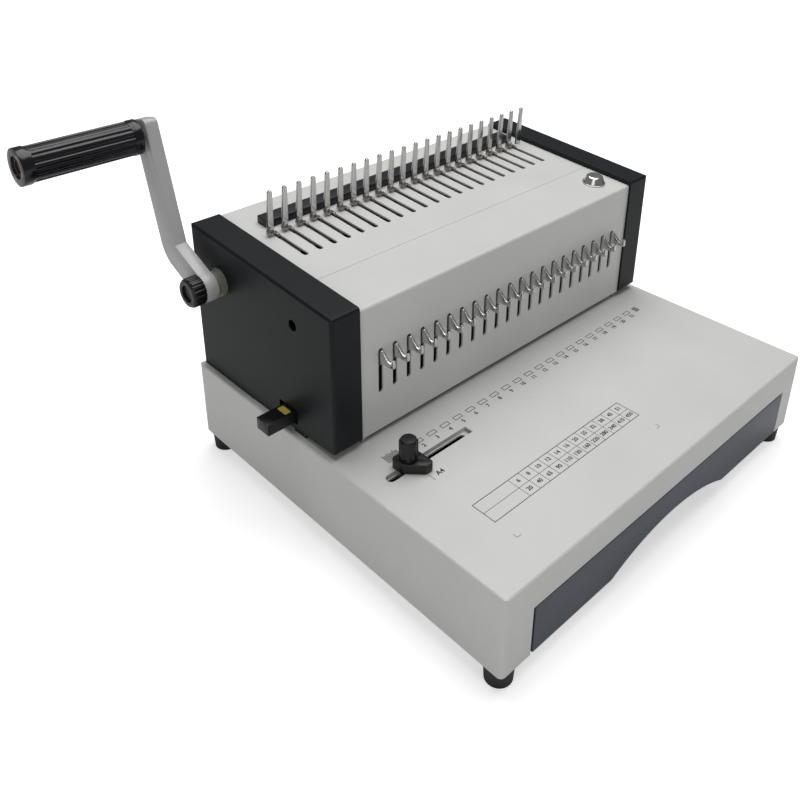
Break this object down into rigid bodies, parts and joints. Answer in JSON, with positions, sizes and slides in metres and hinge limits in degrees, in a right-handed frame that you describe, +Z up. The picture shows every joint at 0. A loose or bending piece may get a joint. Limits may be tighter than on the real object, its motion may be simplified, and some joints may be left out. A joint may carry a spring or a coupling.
{
  "type": "comb binding machine",
  "caption": "Hand-cranked plastic comb binding machine: punching head with pull-out punch selectors, comb fingers and hooks on top, chip drawer, paper edge guide and margin lever.",
  "frame": {"origin": "centre of the cabinet's footprint on the table, level with the underside of the feet", "axes": "+X along the head to the user's right, -Y to the front where paper goes in, +Z up"},
  "size_m": [0.4983, 0.3878, 0.3033],
  "materials": {
    "grey_powder_coat": "satin powder coat on steel sheet",
    "dark_abs": "fine-textured moulded ABS, near black",
    "slate_abs": "moulded ABS, slate grey",
    "black_rubber": "moulded rubber",
    "steel_sheet": "zinc-plated steel",
    "ground_steel": "ground tool steel",
    "polished_steel": "polished nickel plate",
    "cast_alloy": "painted die casting",
    "black_plastic": "moulded plastic, satin gloss",
    "ivory_plastic": "acetal, ivory",
    "brown_plastic": "moulded plastic, brown",
    "copper_plate": "bronze-coloured plated steel"
  },
  "bodies": {
    "machine_body": {"base_cabinet": "grey_powder_coat", "base_pan": "grey_powder_coat", "rubber_feet": "black_rubber", "case_screws": "steel_sheet", "left_end_cap": "dark_abs", "right_end_cap": "dark_abs", "front_cover": "grey_powder_coat", "rear_top_cover": "grey_powder_coat", "side_frames": "steel_sheet", "shaft_bushings": "ivory_plastic", "shaft_collar": "ivory_plastic", "die_plate": "ground_steel", "stripper_plate": "ground_steel", "guide_posts": "ground_steel", "return_springs": "steel_sheet", "comb_fence": "polished_steel", "comb_rest_bar": "black_plastic", "guide_rail": "grey_powder_coat"},
    "crank": {"main_shaft": "ground_steel", "drive_pinions": "ground_steel", "crank_arm": "cast_alloy", "grip_spindle": "ground_steel"},
    "hand_grip": {"grip": "black_plastic", "grip_plug": "brown_plastic"},
    "crank_lock_knob": {"lock_knob": "black_plastic"},
    "comb_opener": {"slide_plates": "steel_sheet", "hook_bar": "steel_sheet", "opener_hooks": "copper_plate"},
    "punch_carrier": {"punch_bar": "cast_alloy", "punches": "ground_steel", "drive_pins": "ground_steel"},
    "chip_drawer": {"waste_tray": "dark_abs", "drawer_front": "slate_abs"},
    "paper_guide": {"edge_guide": "black_plastic", "guide_nut": "steel_sheet"},
    "guide_clamp": {"guide_knob": "black_plastic"},
    "margin_control": {"margin_lever": "black_plastic", "back_stop": "steel_sheet"},
    "comb_dial": {"dial_knob": "polished_steel"},
    "selector_01": {"punch_selector_01": "polished_steel"},
    "selector_02": {"punch_selector_02": "polished_steel"},
    "selector_03": {"punch_selector_03": "polished_steel"},
    "selector_04": {"punch_selector_04": "polished_steel"},
    "selector_05": {"punch_selector_05": "polished_steel"},
    "selector_06": {"punch_selector_06": "polished_steel"},
    "selector_07": {"punch_selector_07": "polished_steel"},
    "selector_08": {"punch_selector_08": "polished_steel"},
    "selector_09": {"punch_selector_09": "polished_steel"},
    "selector_10": {"punch_selector_10": "polished_steel"},
    "selector_11": {"punch_selector_11": "polished_steel"},
    "selector_12": {"punch_selector_12": "polished_steel"},
    "selector_13": {"punch_selector_13": "polished_steel"},
    "selector_14": {"punch_selector_14": "polished_steel"},
    "selector_15": {"punch_selector_15": "polished_steel"},
    "selector_16": {"punch_selector_16": "polished_steel"},
    "selector_17": {"punch_selector_17": "polished_steel"},
    "selector_18": {"punch_selector_18": "polished_steel"},
    "selector_19": {"punch_selector_19": "polished_steel"},
    "selector_20": {"punch_selector_20": "polished_steel"},
    "selector_21": {"punch_selector_21": "polished_steel"}
  },
  "joints": [
    {"name": "crank_turn", "type": "hinge", "parent": "machine_body", "child": "crank", "pos_m": [0, 0.135, 0.18], "axis": [1, 0, 0], "range_deg": [0, 105], "stiffness_Nm_per_rad": 1, "springref_deg": -34.38},
    {"name": "opener_slide", "type": "slide", "parent": "machine_body", "child": "comb_opener", "axis": [0, -0.9979, -0.0649], "range_m": [0, 0.0294]},
    {"name": "punch_slide", "type": "slide", "parent": "machine_body", "child": "punch_carrier", "axis": [0, 0, -1], "range_m": [0, 0.0211], "deforming": ["return_springs"]},
    {"name": "grip_spin", "type": "hinge", "parent": "crank", "child": "hand_grip", "pos_m": [-0.25, 0.199, 0.289], "axis": [1, 0, 0], "continuous": true},
    {"name": "lock_turn", "type": "hinge", "parent": "crank", "child": "crank_lock_knob", "pos_m": [-0.212, 0.135, 0.18], "axis": [1, 0, 0], "continuous": true},
    {"name": "drawer_slide", "type": "slide", "parent": "machine_body", "child": "chip_drawer", "axis": [0, -1, 0], "range_m": [0, 0.18]},
    {"name": "guide_slide", "type": "slide", "parent": "machine_body", "child": "paper_guide", "axis": [1, 0, 0], "range_m": [-0.0145, 0.056]},
    {"name": "guide_knob_turn", "type": "hinge", "parent": "paper_guide", "child": "guide_clamp", "pos_m": [-0.154, -0.045, 0.095], "axis": [0, 0, 1], "range_deg": [0, 270]},
    {"name": "margin_slide", "type": "slide", "parent": "machine_body", "child": "margin_control", "axis": [0, 1, 0], "range_m": [-0.0015, 0.004]},
    {"name": "dial_turn", "type": "hinge", "parent": "machine_body", "child": "comb_dial", "pos_m": [0.142, 0.02145, 0.20429], "axis": [0, -0.0649, 0.9979], "range_deg": [-135, 135]},
    {"name": "selector_pull_01", "type": "slide", "parent": "punch_carrier", "child": "selector_01", "axis": [0, -1, 0], "range_m": [0, 0.008]},
    {"name": "selector_pull_02", "type": "slide", "parent": "punch_carrier", "child": "selector_02", "axis": [0, -1, 0], "range_m": [0, 0.008]},
    {"name": "selector_pull_03", "type": "slide", "parent": "punch_carrier", "child": "selector_03", "axis": [0, -1, 0], "range_m": [0, 0.008]},
    {"name": "selector_pull_04", "type": "slide", "parent": "punch_carrier", "child": "selector_04", "axis": [0, -1, 0], "range_m": [0, 0.008]},
    {"name": "selector_pull_05", "type": "slide", "parent": "punch_carrier", "child": "selector_05", "axis": [0, -1, 0], "range_m": [0, 0.008]},
    {"name": "selector_pull_06", "type": "slide", "parent": "punch_carrier", "child": "selector_06", "axis": [0, -1, 0], "range_m": [0, 0.008]},
    {"name": "selector_pull_07", "type": "slide", "parent": "punch_carrier", "child": "selector_07", "axis": [0, -1, 0], "range_m": [0, 0.008]},
    {"name": "selector_pull_08", "type": "slide", "parent": "punch_carrier", "child": "selector_08", "axis": [0, -1, 0], "range_m": [0, 0.008]},
    {"name": "selector_pull_09", "type": "slide", "parent": "punch_carrier", "child": "selector_09", "axis": [0, -1, 0], "range_m": [0, 0.008]},
    {"name": "selector_pull_10", "type": "slide", "parent": "punch_carrier", "child": "selector_10", "axis": [0, -1, 0], "range_m": [0, 0.008]},
    {"name": "selector_pull_11", "type": "slide", "parent": "punch_carrier", "child": "selector_11", "axis": [0, -1, 0], "range_m": [0, 0.008]},
    {"name": "selector_pull_12", "type": "slide", "parent": "punch_carrier", "child": "selector_12", "axis": [0, -1, 0], "range_m": [0, 0.008]},
    {"name": "selector_pull_13", "type": "slide", "parent": "punch_carrier", "child": "selector_13", "axis": [0, -1, 0], "range_m": [0, 0.008]},
    {"name": "selector_pull_14", "type": "slide", "parent": "punch_carrier", "child": "selector_14", "axis": [0, -1, 0], "range_m": [0, 0.008]},
    {"name": "selector_pull_15", "type": "slide", "parent": "punch_carrier", "child": "selector_15", "axis": [0, -1, 0], "range_m": [0, 0.008]},
    {"name": "selector_pull_16", "type": "slide", "parent": "punch_carrier", "child": "selector_16", "axis": [0, -1, 0], "range_m": [0, 0.008]},
    {"name": "selector_pull_17", "type": "slide", "parent": "punch_carrier", "child": "selector_17", "axis": [0, -1, 0], "range_m": [0, 0.008]},
    {"name": "selector_pull_18", "type": "slide", "parent": "punch_carrier", "child": "selector_18", "axis": [0, -1, 0], "range_m": [0, 0.008]},
    {"name": "selector_pull_19", "type": "slide", "parent": "punch_carrier", "child": "selector_19", "axis": [0, -1, 0], "range_m": [0, 0.008]},
    {"name": "selector_pull_20", "type": "slide", "parent": "punch_carrier", "child": "selector_20", "axis": [0, -1, 0], "range_m": [0, 0.008]},
    {"name": "selector_pull_21", "type": "slide", "parent": "punch_carrier", "child": "selector_21", "axis": [0, -1, 0], "range_m": [0, 0.008]}
  ],
  "couplings": [
    {"joint": "opener_slide", "follows": "crank_turn", "m_per_rad": 0.016},
    {"joint": "punch_slide", "follows": "crank_turn", "m_per_rad": 0.011459}
  ]
}
